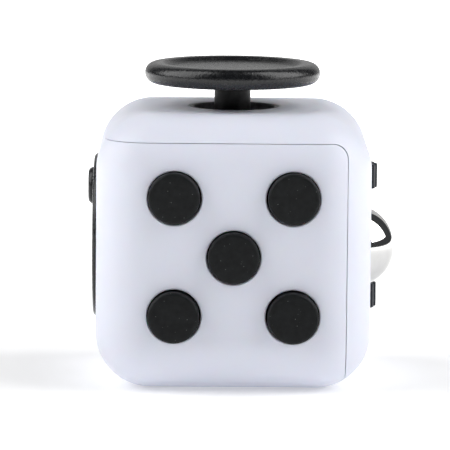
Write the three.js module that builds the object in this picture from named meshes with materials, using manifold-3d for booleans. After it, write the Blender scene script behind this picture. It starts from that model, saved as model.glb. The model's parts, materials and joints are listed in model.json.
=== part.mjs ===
// A fidget cube: a rounded plastic housing in two three-sided shells, with something different to
// work on each face. Front: five push buttons. Top: a gliding thumb disc. Left: a spinning dial.
// Right: a steel ball and three thumb gears. Back: a rocker switch. Bottom: a smooth thumb dish.
//
// Millimetres, +Z up, front towards -Y. Everything is built about the cube's centre, and the whole
// cube is then moved so that the origin is the bottom centre of the overall envelope.
import * as THREE from "three";
import { mergeVertices } from "three/addons/utils/BufferGeometryUtils.js";
import { RoundedBoxGeometry } from "three/addons/geometries/RoundedBoxGeometry.js";
import Module from "manifold-3d";

const wasm = await Module();
wasm.setup();

// ---- Driving dimensions -------------------------------------------------------------------------

const CUBE = 33; // outside size of the housing, face to face
const EDGE_RADIUS = 6.6; // round on all twelve edges
const WALL = 2;
const SEAM_INSET = 3; // distance of the parting line from the three faces of the rear shell
const SEAM_CORNER = 1.8; // round where the parting line turns
const SEAM_GAP = 0.2;
const TONGUE = 0.9; // thickness of the front shell's inner lip
const TONGUE_REACH = 0.7;

const FIT = 0.15; // clearance of pieces that slide or turn in each other
const REST = 0.1; // gap left where one fixed piece lies on another

const BUTTON_PITCH = 14.22; // between the four outer buttons, which lean out a little in their holes
const BUTTON_RADIUS = 3.08;
const BUTTON_PROUD = 1.2;
const BUTTON_FLANGE = 4;
const BUTTON_HOLE = 3.22;
const BUTTON_HOLE_PITCH = 14.12;
const PRESS = 0.6; // travel of the buttons and of the ball

const CAP_RADIUS = 10.67;
const CAP_UNDER = 2.8; // height of the thumb disc's underside over the top face
const CAP_RIM = 1.25; // section radius of the disc's round rim
const CAP_DISH = 0.52; // depth of the disc's shallow dish under its rim
const CAP_DISH_RADIUS = 7.8;
const STEM_RADIUS = 2.2;
const COLLAR_OUTER = 5.4;
const COLLAR_INNER = 4.95;
const GLIDE = 1.9; // travel each way of the thumb disc, along each of its two slides
const WEB_PLAY = 0.4; // round the stem's pin in the centring web
const DISC_ASIDE = -0.22; // where the disc rests within that play, along X from the hole's middle

const DIAL_RADIUS = 10;
const DIAL_PROUD = 0.5;
const NUB_RADIUS = 2.25;
const NUB_PROUD = 1.2;
const NUB_ORBIT = 6.05; // from the dial's axis to the nub's
const DIAL_RISE = 0.55; // of the dial's axis over the left face's centre

const BALL_RADIUS = 5;
const BALL_PROUD = 3;
const BALL_ASIDE = 4.4; // from the right face's centre, towards the front
const GEAR_RADIUS = 4.4;
const GEAR_WIDTH = 3;
const GEAR_TEETH = 15;
const GEAR_PROUD = 1.3;
const GEAR_ASIDE = 6.2; // from the right face's centre, towards the back
const GEAR_PITCH = 7.4;
const AXLE_RADIUS = 0.75;

const ROCKER_LENGTH = 14.4;
const ROCKER_WIDTH = 7;
const ROCKER_RIDGE = 2.2; // height of its ridge over the back face when it is level
const ROCKER_PIVOT = 3.6; // depth of its axle under the back face
const ROCKER_TILT = 11; // degrees, to each side

const DISH_RADIUS = 8;
const DISH_DEPTH = 1.3;

// ---- Materials ----------------------------------------------------------------------------------

function plastic(color, roughness) {
  return new THREE.MeshStandardMaterial({ color, roughness, metalness: 0 });
}

function metal(color, roughness) {
  return new THREE.MeshStandardMaterial({ color, roughness, metalness: 1 });
}

const WHITE = plastic(0xe4e6ee, 0.42);
const BLACK = plastic(0x1a1b1d, 0.5);
const SOFT_BLACK = plastic(0x1c1e1f, 0.75);
const GREY = plastic(0x6d7074, 0.5);
const SILICONE = plastic(0xb9bcc0, 0.6);
const BOARD = plastic(0x1f5a34, 0.55);
const CHROME = metal(0xd8d9db, 0.08);
const STEEL = metal(0xa9abad, 0.3);
const ZINC = metal(0xb8b7ae, 0.35);

// ---- Shapes -------------------------------------------------------------------------------------

// A manifold-3d solid of any closed three.js geometry.
function solid(geometry) {
  const loose = geometry.index ? geometry.toNonIndexed() : geometry.clone();
  const points = new THREE.BufferGeometry();
  points.setAttribute("position", loose.getAttribute("position"));
  const merged = mergeVertices(points, 1e-4);
  const corners = merged.index.array;
  const triangles = [];
  for (let i = 0; i < corners.length; i += 3) {
    const [a, b, c] = corners.subarray(i, i + 3);
    if (a !== b && b !== c && c !== a) triangles.push(a, b, c);
  }
  return new wasm.Manifold(
    new wasm.Mesh({
      numProp: 3,
      vertProperties: merged.attributes.position.array,
      triVerts: new Uint32Array(triangles),
    }),
  );
}

// The three.js geometry of a manifold-3d solid, with flat shading normals.
function geometryOf(made) {
  const mesh = made.getMesh();
  const indexed = new THREE.BufferGeometry();
  indexed.setAttribute("position", new THREE.BufferAttribute(mesh.vertProperties, mesh.numProp));
  indexed.setIndex(new THREE.BufferAttribute(mesh.triVerts, 1));
  const flat = indexed.toNonIndexed();
  flat.computeVertexNormals();
  return flat;
}

function join(first, ...others) {
  return geometryOf(others.reduce((sum, g) => sum.add(solid(g)), solid(first)));
}

function cut(first, ...tools) {
  return geometryOf(tools.reduce((rest, g) => rest.subtract(solid(g)), solid(first)));
}

function common(a, b) {
  return geometryOf(solid(a).intersect(solid(b)));
}

// Corner points of a circle, as a polygon of n sides.
function circle(radius, n = 24, x = 0, y = 0) {
  const points = [];
  for (let i = 0; i < n; i++) {
    const a = (2 * Math.PI * (i + 0.5)) / n;
    points.push(new THREE.Vector2(x + radius * Math.cos(a), y + radius * Math.sin(a)));
  }
  return points;
}

// Corner points of a rectangle with round corners.
function rectangle(halfX, halfY, corner = 0, steps = 4) {
  if (corner === 0) {
    return pairs([-halfX, -halfY], [halfX, -halfY], [halfX, halfY], [-halfX, halfY]);
  }
  const points = [];
  for (let quarter = 0; quarter < 4; quarter++) {
    const sx = quarter === 0 || quarter === 3 ? 1 : -1;
    const sy = quarter < 2 ? 1 : -1;
    for (let i = 0; i <= steps; i++) {
      const a = (Math.PI / 2) * (quarter + i / steps);
      const x = sx * (halfX - corner) + corner * Math.cos(a);
      const y = sy * (halfY - corner) + corner * Math.sin(a);
      points.push(new THREE.Vector2(x, y));
    }
  }
  return points;
}

function pairs(...list) {
  return list.map(([x, y]) => new THREE.Vector2(x, y));
}

// A flat plate of an outline in XY, from one height to another, with holes through it.
function plate(outline, low, high, ...holes) {
  const shape = new THREE.Shape(outline);
  for (const hole of holes) shape.holes.push(new THREE.Path(hole));
  const made = new THREE.ExtrudeGeometry(shape, { depth: high - low, bevelEnabled: false });
  return made.translate(0, 0, low);
}

// The same for an outline in YZ, along X, and for one in XZ, along Y.
function alongX(outline, low, high, ...holes) {
  const turn = new THREE.Matrix4().set(0, 0, 1, 0, 1, 0, 0, 0, 0, 1, 0, 0, 0, 0, 0, 1);
  return plate(outline, low, high, ...holes).applyMatrix4(turn);
}

function alongY(outline, low, high, ...holes) {
  return plate(outline, -high, -low, ...holes).rotateX(Math.PI / 2);
}

function box(x0, x1, y0, y1, z0, z1) {
  const made = new THREE.BoxGeometry(x1 - x0, y1 - y0, z1 - z0);
  return made.translate((x0 + x1) / 2, (y0 + y1) / 2, (z0 + z1) / 2);
}

function cylinder(radius, low, high, n = 24, x = 0, y = 0) {
  return plate(circle(radius, n, x, y), low, high);
}

// A body of revolution about Z. The profile is [radius, height] pairs, anticlockwise: it goes up
// the outside and comes down the inside, and starts and ends on the axis or closes on itself.
function revolve(profile, n = 24) {
  const points = pairs(...profile);
  if (profile[0][0] > 0) points.push(points[0].clone());
  return new THREE.LatheGeometry(points, n).rotateX(Math.PI / 2).rotateZ(Math.PI / n);
}

// [radius, height] pairs along an arc, from one angle to another in degrees.
function arc(centreR, centreZ, radius, from, to, steps) {
  const points = [];
  for (let i = 0; i <= steps; i++) {
    const a = THREE.MathUtils.degToRad(from + ((to - from) * i) / steps);
    points.push([centreR + radius * Math.cos(a), centreZ + radius * Math.sin(a)]);
  }
  return points;
}

// A bent strip of sheet metal: its line in 2D, given an even thickness.
function strip(line, thickness) {
  const points = pairs(...line);
  const sides = [[], []];
  points.forEach((p, i) => {
    const before = points[Math.max(i - 1, 0)];
    const after = points[Math.min(i + 1, points.length - 1)];
    const along = after.clone().sub(before).normalize();
    const normal = new THREE.Vector2(-along.y, along.x).multiplyScalar(thickness / 2);
    sides[0].push(p.clone().sub(normal));
    sides[1].unshift(p.clone().add(normal));
  });
  return [...sides[0], ...sides[1]];
}

// ---- Frame of each face: +Z is outwards, z = 0 is the face, and the cavity is below -WALL ---------

const HALF = CUBE / 2;

function faceFrame(x, y, rise = 0) {
  const out = new THREE.Vector3().crossVectors(x, y);
  const middle = out.clone().multiplyScalar(HALF).addScaledVector(y, rise);
  return new THREE.Matrix4().makeBasis(x, y, out).setPosition(middle);
}

const X = new THREE.Vector3(1, 0, 0);
const Y = new THREE.Vector3(0, 1, 0);
const Z = new THREE.Vector3(0, 0, 1);
const FACES = {
  front: faceFrame(X, Z),
  back: faceFrame(X.clone().negate(), Z),
  left: faceFrame(Y.clone().negate(), Z, DIAL_RISE),
  right: faceFrame(Y, Z),
  top: faceFrame(X, Y),
  bottom: faceFrame(X, Y.clone().negate()),
};

const cube = new THREE.Group();
const groups = {};
for (const [name, frame] of Object.entries(FACES)) {
  groups[name] = new THREE.Group();
  groups[name].applyMatrix4(frame);
  cube.add(groups[name]);
}

function add(group, name, material, geometry) {
  const mesh = new THREE.Mesh(geometry, material);
  mesh.name = name;
  group.add(mesh);
  return mesh;
}

// ---- Screws -------------------------------------------------------------------------------------

const SCREW_SHANK = 0.55;
const SCREW_HEAD = 1.2;
const SCREW_HEAD_HEIGHT = 0.7;
const PILOT = 0.75; // hole for the shank, in a boss or in a board
const BOSS_RADIUS = 1.3;

// A cross-head screw driven outwards, its head's seat at `seat` and its tip `length` further out.
function screwShape(length, head = SCREW_HEAD, shank = SCREW_SHANK) {
  const under = -SCREW_HEAD_HEIGHT;
  const body = revolve(
    [
      [0, under],
      [head * 0.75, under],
      [head, under * 0.5],
      [head, 0],
      [shank, 0],
      [shank, length - 0.5],
      [shank * 0.3, length],
      [0, length],
    ],
    10,
  );
  const slot = head * 0.62;
  const recess = under + 0.4;
  const wide = box(-slot, slot, -0.16, 0.16, under - 1, recess);
  const tall = box(-0.16, 0.16, -slot, slot, under - 1, recess);
  return cut(body, wide, tall);
}

function addScrew(group, name, x, y, seat, length) {
  const screw = add(group, name, ZINC, screwShape(length));
  screw.position.set(x, y, seat);
}

// A screw boss standing on the inside of a wall, and the blind hole in it.
function boss(x, y, end, radius = BOSS_RADIUS) {
  return cylinder(radius, end, -WALL + 0.5, 16, x, y);
}

function pilotHole(x, y, end) {
  return cylinder(PILOT, end - 1, -WALL - 0.4, 10, x, y);
}

// ---- Front face: five buttons, three with clicking switches and two silent ones -------------------

const BOARD_THICKNESS = 0.8;
const FLANGE_TOP = -WALL - 0.2;
const FLANGE_UNDER = FLANGE_TOP - 0.8;
const SWITCH_HEIGHT = 1.5;
const SWITCH_HALF = 2.1;
const CLICK_BOARD_TOP = -5.4;
const SWITCH_TOP = CLICK_BOARD_TOP + SWITCH_HEIGHT;
const CLICK_SCREWS = [
  [0, 9.2],
  [0, -9.2],
  [-8.9, 0],
];

// Where each button is, and whether it clicks. [name, column, row, clicks]
const BUTTONS = [
  ["upper_left", -1, 1, true],
  ["upper_right", 1, 1, false],
  ["centre", 0, 0, true],
  ["lower_left", -1, -1, false],
  ["lower_right", 1, -1, true],
];

function buttonShape(clicks) {
  const round = 0.4;
  const foot = clicks ? [1.1, FLANGE_UNDER - 0.35] : [0.85, FLANGE_UNDER - 0.6];
  return revolve([
    [0, foot[1]],
    [foot[0], foot[1]],
    [foot[0], FLANGE_UNDER],
    [BUTTON_FLANGE, FLANGE_UNDER],
    [BUTTON_FLANGE, FLANGE_TOP],
    [BUTTON_RADIUS, FLANGE_TOP],
    ...arc(BUTTON_RADIUS - round, BUTTON_PROUD - round, round, 0, 90, 2),
    [0, BUTTON_PROUD],
  ]);
}

// A tactile switch: a square body with a round well, and a plunger that stands out of it.
const PLUNGER_RADIUS = 1;
const PLUNGER_OUT = 0.5;

function switchBodyShape(top) {
  const body = box(-SWITCH_HALF, SWITCH_HALF, -SWITCH_HALF, SWITCH_HALF, top - SWITCH_HEIGHT + 0.05, top);
  return cut(body, cylinder(PLUNGER_RADIUS + FIT, top - 1.2, top + 1, 16));
}

function switchPlungerShape(top) {
  return cylinder(PLUNGER_RADIUS, top - 0.4, top + PLUNGER_OUT, 16);
}

// A silicone cone that pushes a silent button back out.
function returnPadShape() {
  const low = CLICK_BOARD_TOP + 0.05;
  const high = FLANGE_UNDER - 0.05;
  return revolve(
    [
      [2.5, low],
      [3.2, low],
      [3.2, low + 0.4],
      [2, high],
      [1.15, high],
      [1.15, high - 0.4],
      [2.5, low + 0.4],
    ],
    16,
  );
}

function buildButtons(group) {
  for (const [name, column, row, clicks] of BUTTONS) {
    const x = (column * BUTTON_PITCH) / 2;
    const y = (row * BUTTON_PITCH) / 2;
    const pieces = [add(group, `button_${name}`, SOFT_BLACK, buttonShape(clicks))];
    if (clicks) {
      pieces.push(add(group, `click_switch_${name}`, BLACK, switchBodyShape(SWITCH_TOP)));
      pieces.push(add(group, `click_plunger_${name}`, GREY, switchPlungerShape(SWITCH_TOP)));
    } else {
      pieces.push(add(group, `return_pad_${name}`, SILICONE, returnPadShape()));
    }
    for (const piece of pieces) piece.position.set(x, y, 0);
  }
  const holes = CLICK_SCREWS.map(([x, y]) => circle(PILOT, 10, x, y));
  const outline = rectangle(9.7, 10.6, 2);
  const under = CLICK_BOARD_TOP - BOARD_THICKNESS;
  add(group, "click_board", BOARD, plate(outline, under, CLICK_BOARD_TOP, ...holes));
  CLICK_SCREWS.forEach(([x, y], i) => {
    addScrew(group, `click_board_screw_${i + 1}`, x, y, under - 0.05, 3.6);
  });
}

const buttonHoles = BUTTONS.map(([, column, row]) => {
  const half = BUTTON_HOLE_PITCH / 2;
  return cylinder(BUTTON_HOLE, -WALL - 1, 1, 24, column * half, row * half);
});

// ---- Top face: the gliding thumb disc -------------------------------------------------------------
// The stem's wide dust disc hides the hole. Its square boss slides along Y in the slot of a carrier,
// and the carrier slides along X between two rails of the cage. A silicone web centres them.

const BEZEL_TOP = -WALL - 0.15;
const BEZEL_UNDER = BEZEL_TOP - 0.6;
const DUST_TOP = BEZEL_UNDER - 0.25;
const DUST_UNDER = DUST_TOP - 0.7;
const DUST_RADIUS = 7.8;
const CARRIER_TOP = DUST_UNDER - FIT;
const CARRIER_UNDER = CARRIER_TOP - 0.9;
const CAGE_FLOOR = CARRIER_UNDER - FIT;
const CAGE_UNDER = CAGE_FLOOR - 0.7;
const CAGE_HALF = 11.1;
const CAGE_OPENING = 6.3;
const BOSS_HALF = 2; // of the stem's square boss
const PIN_RADIUS = 1.45;
const PIN_END = CAGE_UNDER - 1.4;
const CAGE_SCREW = 8.9;

const FOUR_CORNERS = [
  [1, 1],
  [-1, 1],
  [-1, -1],
  [1, -1],
];

function thumbCapShape() {
  const rimR = CAP_RADIUS - CAP_RIM;
  const rimZ = CAP_UNDER + CAP_RIM;
  const top = rimZ + CAP_RIM;
  const dish = revolve(
    [
      [0, CAP_UNDER],
      ...arc(rimR, rimZ, CAP_RIM, -90, 72, 9),
      [rimR - 0.2, top],
      [rimR - 0.7, top],
      [CAP_DISH_RADIUS + 0.5, top - 0.2],
      [CAP_DISH_RADIUS, top - CAP_DISH],
      [0, top - CAP_DISH - 0.04],
    ],
    32,
  );
  return cut(dish, cylinder(1.6, CAP_UNDER - 1, CAP_UNDER + 1, 12));
}

function stemShape() {
  const turned = revolve([
    [0, PIN_END],
    [PIN_RADIUS, PIN_END],
    [PIN_RADIUS, DUST_UNDER],
    [DUST_RADIUS, DUST_UNDER],
    [DUST_RADIUS, DUST_TOP],
    [STEM_RADIUS, DUST_TOP],
    [STEM_RADIUS, CAP_UNDER - 0.05],
    [1.45, CAP_UNDER - 0.05],
    [1.45, CAP_UNDER + 0.9],
    [0, CAP_UNDER + 0.9],
  ]);
  const square = box(-BOSS_HALF, BOSS_HALF, -BOSS_HALF, BOSS_HALF, CARRIER_UNDER - 0.05, DUST_UNDER + 0.2);
  return cut(join(turned, square), cylinder(0.7, PIN_END - 1, PIN_END + 2.8, 10));
}

// A collar that lines the hole in the top face, on a plate with its corners notched for the bosses.
function bezelShape() {
  const out = 10.2;
  const step = 6.9;
  const outline = [];
  for (const [sx, sy] of FOUR_CORNERS) {
    const corner = [
      [sx * out, sy * step],
      [sx * step, sy * step],
      [sx * step, sy * out],
    ];
    outline.push(...(sx * sy > 0 ? corner : corner.reverse()));
  }
  const flange = plate(pairs(...outline), BEZEL_UNDER, BEZEL_TOP, circle(COLLAR_INNER, 32));
  const collar = plate(circle(COLLAR_OUTER, 32), BEZEL_TOP - 0.2, -0.03, circle(COLLAR_INNER, 32));
  return join(flange, collar);
}

function carrierShape() {
  const slot = rectangle(BOSS_HALF + FIT, BOSS_HALF + GLIDE + FIT);
  return plate(rectangle(7.2, 6.9, 1, 2), CARRIER_UNDER, CARRIER_TOP, slot);
}

function cageShape() {
  const holes = FOUR_CORNERS.map(([sx, sy]) => circle(PILOT, 10, sx * CAGE_SCREW, sy * CAGE_SCREW));
  const outline = rectangle(CAGE_HALF, CAGE_HALF, 1.6, 3);
  const floor = plate(outline, CAGE_UNDER, CAGE_FLOOR, circle(CAGE_OPENING), ...holes);
  const inner = CAGE_HALF - 0.75;
  const walls = plate(outline, CAGE_UNDER, BEZEL_UNDER - REST, rectangle(inner, inner, 1, 3));
  const railTop = CARRIER_TOP - 0.1;
  const rails = [1, -1].map((side) => {
    const near = 6.9 + FIT;
    const [y0, y1] = side > 0 ? [near, near + 0.7] : [-near - 0.7, -near];
    return box(-6, 6, y0, y1, CAGE_UNDER + 0.2, railTop);
  });
  const holder = plate(circle(7.2), PIN_END, CAGE_UNDER + 0.2, circle(6.5));
  const lip = plate(circle(7.2), PIN_END - 0.4, PIN_END + 0.05, circle(5.9));
  return join(floor, walls, ...rails, holder, lip);
}

// A thin web of silicone between an outer ring, held in the cage, and a ring round the stem's pin.
function webShape() {
  const low = PIN_END + 0.15;
  const high = CAGE_UNDER - 0.15;
  const middle = (low + high) / 2;
  return revolve([
    [PIN_RADIUS + WEB_PLAY, low],
    [2.5, low],
    [2.7, middle - 0.2],
    [5.4, middle - 0.2],
    [5.6, low],
    [6.4, low],
    [6.4, high],
    [5.6, high],
    [5.4, middle + 0.2],
    [2.7, middle + 0.2],
    [2.5, high],
    [PIN_RADIUS + WEB_PLAY, high],
  ]);
}

function buildGlide(group) {
  add(group, "glide_bezel", BLACK, bezelShape());
  add(group, "glide_cage", BLACK, cageShape());
  add(group, "glide_centring_web", SILICONE, webShape());
  const washerTop = CARRIER_UNDER - 0.12;
  const washer = plate(circle(3.4), washerTop - 0.4, washerTop, circle(PIN_RADIUS + 0.1, 16));
  const stemScrew = add(group, "glide_stem_screw", ZINC, screwShape(2.4, 2.2));
  stemScrew.position.z = PIN_END - 0.05;
  const gliding = [
    add(group, "thumb_disc", BLACK, thumbCapShape()),
    add(group, "glide_stem", BLACK, stemShape()),
    add(group, "glide_carrier", GREY, carrierShape()),
    add(group, "glide_washer", STEEL, washer),
    stemScrew,
  ];
  for (const piece of gliding) piece.position.x = DISC_ASIDE;
  FOUR_CORNERS.forEach(([sx, sy], i) => {
    addScrew(group, `glide_cage_screw_${i + 1}`, sx * CAGE_SCREW, sy * CAGE_SCREW, CAGE_UNDER - 0.05, 3);
  });
}

// ---- Left face: the spinning dial -----------------------------------------------------------------

const RECESS_DEPTH = 1.1;
const SHAFT_RADIUS = 2;
const WHEEL_TOP = -WALL - 0.25;
const WHEEL_UNDER = WHEEL_TOP - 1.2;
const WHEEL_RADIUS = 5.6;
const WHEEL_NOTCHES = 12;
const TENON = 1.2; // half the width of the square end that turns the detent wheel

function dialShape() {
  const under = -RECESS_DEPTH + 0.25;
  const disc = revolve(
    [
      [0, WHEEL_TOP + 0.05],
      [SHAFT_RADIUS, WHEEL_TOP + 0.05],
      [SHAFT_RADIUS, under],
      [DIAL_RADIUS, under],
      ...arc(DIAL_RADIUS - 0.6, DIAL_PROUD - 0.6, 0.6, 0, 90, 3),
      [DIAL_RADIUS - 1.2, DIAL_PROUD],
      [DIAL_RADIUS - 1.9, DIAL_PROUD - 0.3],
      [0, DIAL_PROUD - 0.35],
    ],
    32,
  );
  const nubRise = NUB_PROUD - DIAL_PROUD + 0.6;
  const nub = revolve(
    [
      [0, NUB_PROUD - nubRise],
      [NUB_RADIUS, NUB_PROUD - nubRise],
      ...arc(NUB_RADIUS - 0.6, NUB_PROUD - 0.6, 0.6, 0, 70, 3),
      [0, NUB_PROUD],
    ],
    20,
  ).translate(0, NUB_ORBIT, 0);
  const tenon = box(-TENON, TENON, -TENON, TENON, WHEEL_UNDER + 0.1, WHEEL_TOP + 0.3);
  return cut(join(disc, nub, tenon), cylinder(0.7, WHEEL_UNDER - 1, -1.2, 10));
}

// A wheel with round notches that the detent spring drops into.
function detentWheelShape() {
  const outline = [];
  for (let i = 0; i < WHEEL_NOTCHES * 4; i++) {
    const a = (2 * Math.PI * i) / (WHEEL_NOTCHES * 4) - Math.PI / 2;
    const depth = i % 4 === 0 ? 0.7 : 0.12 * (i % 2);
    const r = WHEEL_RADIUS - depth;
    outline.push(new THREE.Vector2(r * Math.cos(a), r * Math.sin(a)));
  }
  return plate(outline, WHEEL_UNDER, WHEEL_TOP, rectangle(TENON + 0.1, TENON + 0.1));
}

// The spring's nose rests in the wheel's lowest notch. Its left end is held in a slotted post.
const SPRING_LINE = [
  [-9, -6.4],
  [-6.5, -6.4],
  [-1, -5.95],
  [-0.35, -5.35],
  [0.35, -5.35],
  [1, -5.95],
  [2.6, -6.3],
];
const POST = { x0: -8.8, x1: -7.2, y0: -7.3, y1: -5.5 };

function buildDial(group) {
  add(group, "spin_dial", BLACK, dialShape());
  add(group, "spin_detent_wheel", GREY, detentWheelShape());
  const spring = plate(strip(SPRING_LINE, 0.2), WHEEL_UNDER + 0.1, WHEEL_TOP - 0.1);
  add(group, "spin_detent_spring", STEEL, spring);
  const screw = add(group, "spin_dial_screw", ZINC, screwShape(2, 1.9));
  screw.position.z = WHEEL_UNDER - 0.05;
}

const springPost = box(POST.x0, POST.x1, POST.y0, POST.y1, WHEEL_UNDER, -WALL + 0.5);
const springSlot = box(-12, POST.x1 + 1, -6.4 - 0.22, -6.4 + 0.22, WHEEL_UNDER - 1, WHEEL_TOP);

// ---- Right face: the steel ball and the three thumb gears ------------------------------------------

const BALL_DEPTH = BALL_RADIUS - BALL_PROUD; // of its centre under the face
const SEAT_RADIUS = 5.5;
const SEAT_UNDER = -7.9;
const FRAME_TOP = -8.1;
const FRAME_UNDER = FRAME_TOP - 0.8;
const GEAR_DEPTH = GEAR_RADIUS - GEAR_PROUD;
const BALL_SWITCH_TOP = -8.7;
const BALL_BOARD_TOP = BALL_SWITCH_TOP - SWITCH_HEIGHT;
const BALL_BOARD_SCREW = 7; // above and below the ball's axis
const FRAME_SCREWS = [
  [-7.4, 8.4],
  [-7.4, -8.4],
  [9.6, 3.7],
  [9.6, -3.7],
];
const GEARS = [
  ["upper", 1],
  ["middle", 0],
  ["lower", -1],
];
const AXLE_RIBS = [
  [9.2, 10],
  [3, 4.4],
  [-4.4, -3],
  [-10, -9.2],
];

// A cup with a round socket that the ball rolls in, closed by a foot that works the switch.
function ballSeatShape() {
  const socket = BALL_RADIUS + 0.13;
  const rim = -3.2;
  const from = THREE.MathUtils.radToDeg(Math.asin((rim + BALL_DEPTH) / socket));
  return revolve(
    [
      [0, SEAT_UNDER - 0.25],
      [1, SEAT_UNDER - 0.25],
      [1, SEAT_UNDER],
      [3.4, SEAT_UNDER],
      [SEAT_RADIUS, -5.6],
      [SEAT_RADIUS, rim],
      ...arc(0, -BALL_DEPTH, socket, from, -90, 6),
    ],
    24,
  );
}

// A thumb gear about Y. A tooth faces outwards, and a gap between two teeth faces the detent comb.
function gearShape() {
  const root = GEAR_RADIUS - 0.7;
  const outline = [];
  for (let i = 0; i < GEAR_TEETH; i++) {
    const middle = (2 * Math.PI * i) / GEAR_TEETH + Math.PI / 2;
    const step = Math.PI / GEAR_TEETH;
    const corners = [
      [root, -0.62],
      [GEAR_RADIUS, -0.4],
      [GEAR_RADIUS, 0.4],
      [root, 0.62],
    ];
    for (const [r, turn] of corners) {
      const a = middle + turn * step;
      outline.push(new THREE.Vector2(r * Math.cos(a), r * Math.sin(a)));
    }
  }
  return alongY(outline, -GEAR_WIDTH / 2, GEAR_WIDTH / 2, circle(AXLE_RADIUS + FIT, 12));
}

// The plate behind the ball and the gears, with the ball seat's guide tube and the axle's ribs.
function rollFrameShape() {
  const [left, right, half] = [-9.6, 10.7, 10];
  const screwHoles = FRAME_SCREWS.map(([x, y]) => circle(PILOT, 10, x, y));
  const outline = pairs([left, -half], [right, -half], [right, half], [left, half]);
  const base = plate(outline, FRAME_UNDER, FRAME_TOP, ...screwHoles);
  const tube = cylinder(6, FRAME_UNDER, -4, 24, -BALL_ASIDE, 0);
  const bore = cylinder(5.62, FRAME_UNDER - 1, 0, 24, -BALL_ASIDE, 0);
  const frontSide = box(-14, -9.95, -9, 9, -12, 0);
  const ribs = AXLE_RIBS.map(([y0, y1]) => {
    return box(GEAR_ASIDE - 1.5, GEAR_ASIDE + 1.5, y0, y1, FRAME_UNDER, -2.35);
  });
  const posts = [1, -1].map((side) => {
    const y = side * BALL_BOARD_SCREW;
    return cylinder(BOSS_RADIUS - 0.2, BALL_BOARD_TOP + 0.05, FRAME_TOP, 12, -BALL_ASIDE, y);
  });
  const postHoles = [1, -1].map((side) => {
    return cylinder(PILOT - 0.1, -12, FRAME_TOP - 0.2, 10, -BALL_ASIDE, side * BALL_BOARD_SCREW);
  });
  const axle = circle(AXLE_RADIUS + 0.1, 16, GEAR_ASIDE, -GEAR_DEPTH);
  return cut(join(base, tube, ...ribs, ...posts), bore, frontSide, ...postHoles, alongY(axle, -12, 12));
}

// A steel comb: a spine on the frame, and a finger with a raised nose under each gear.
function gearCombShape() {
  const lie = FRAME_TOP + 0.15;
  const nose = -GEAR_DEPTH - GEAR_RADIUS + 0.3;
  const x = GEAR_ASIDE;
  const line = [
    [2.4, lie],
    [x - 0.75, lie],
    [x - 0.2, nose],
    [x + 0.2, nose],
    [x + 0.75, lie],
    [x + 1.2, lie],
  ];
  const fingers = GEARS.map(([, row]) => {
    const y = row * GEAR_PITCH;
    return alongY(strip(line, 0.16), y - 0.8, y + 0.8);
  });
  const spine = box(2.2, 3.6, -8.6, 8.6, lie - 0.08, lie + 0.08);
  return join(spine, ...fingers);
}

function buildRoll(group) {
  const ball = add(group, "steel_ball", CHROME, new THREE.SphereGeometry(BALL_RADIUS, 24, 14));
  ball.position.set(-BALL_ASIDE, 0, -BALL_DEPTH);
  const behindBall = [
    add(group, "ball_seat", GREY, ballSeatShape()),
    add(group, "ball_switch", BLACK, switchBodyShape(BALL_SWITCH_TOP)),
    add(group, "ball_plunger", GREY, switchPlungerShape(BALL_SWITCH_TOP)),
  ];
  for (const piece of behindBall) piece.position.x = -BALL_ASIDE;

  const holes = [1, -1].map((side) => circle(PILOT, 10, 0, side * BALL_BOARD_SCREW));
  const boardUnder = BALL_BOARD_TOP - BOARD_THICKNESS;
  const board = plate(rectangle(2.6, 8.5, 1, 3), boardUnder, BALL_BOARD_TOP, ...holes);
  add(group, "ball_switch_board", BOARD, board).position.x = -BALL_ASIDE;
  [1, -1].forEach((side, i) => {
    const y = side * BALL_BOARD_SCREW;
    addScrew(group, `ball_board_screw_${i + 1}`, -BALL_ASIDE, y, boardUnder - 0.05, 2.6);
  });

  for (const [name, row] of GEARS) {
    const gear = add(group, `thumb_gear_${name}`, BLACK, gearShape());
    gear.position.set(GEAR_ASIDE, row * GEAR_PITCH, -GEAR_DEPTH);
  }
  const pin = alongY(circle(AXLE_RADIUS, 16, GEAR_ASIDE, -GEAR_DEPTH), -10, 10);
  add(group, "gear_axle", STEEL, pin);
  add(group, "gear_detent_comb", STEEL, gearCombShape());
  add(group, "roll_frame", BLACK, rollFrameShape());
  FRAME_SCREWS.forEach(([x, y], i) => {
    addScrew(group, `roll_frame_screw_${i + 1}`, x, y, FRAME_UNDER - 0.05, 4);
  });
}

const ballPocket = new THREE.SphereGeometry(BALL_RADIUS + 0.14, 32, 20);
ballPocket.translate(-BALL_ASIDE, 0, -BALL_DEPTH);
const gearSlots = GEARS.map(([, row]) => {
  const round = circle(GEAR_RADIUS + 0.32, 32, GEAR_ASIDE, -GEAR_DEPTH);
  const half = GEAR_WIDTH / 2 + FIT;
  return alongY(round, row * GEAR_PITCH - half, row * GEAR_PITCH + half);
});

// ---- Back face: the rocker switch -----------------------------------------------------------------

const CAM_LENGTH = 3.85; // from the axle to the tip that snaps over the leaf spring
const FLIP_FLOOR = -8.6;
const FLIP_SCREW = 9.4;
const FLIP_TAB = -4.4;
const EAR_INNER = ROCKER_WIDTH / 2 + 0.5;
const EAR_OUTER = EAR_INNER + 1;

// An outline like a running track, longer along Y.
function pill(halfLength, halfWidth) {
  return rectangle(halfWidth, halfLength, halfWidth - 0.05, 6);
}

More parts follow.
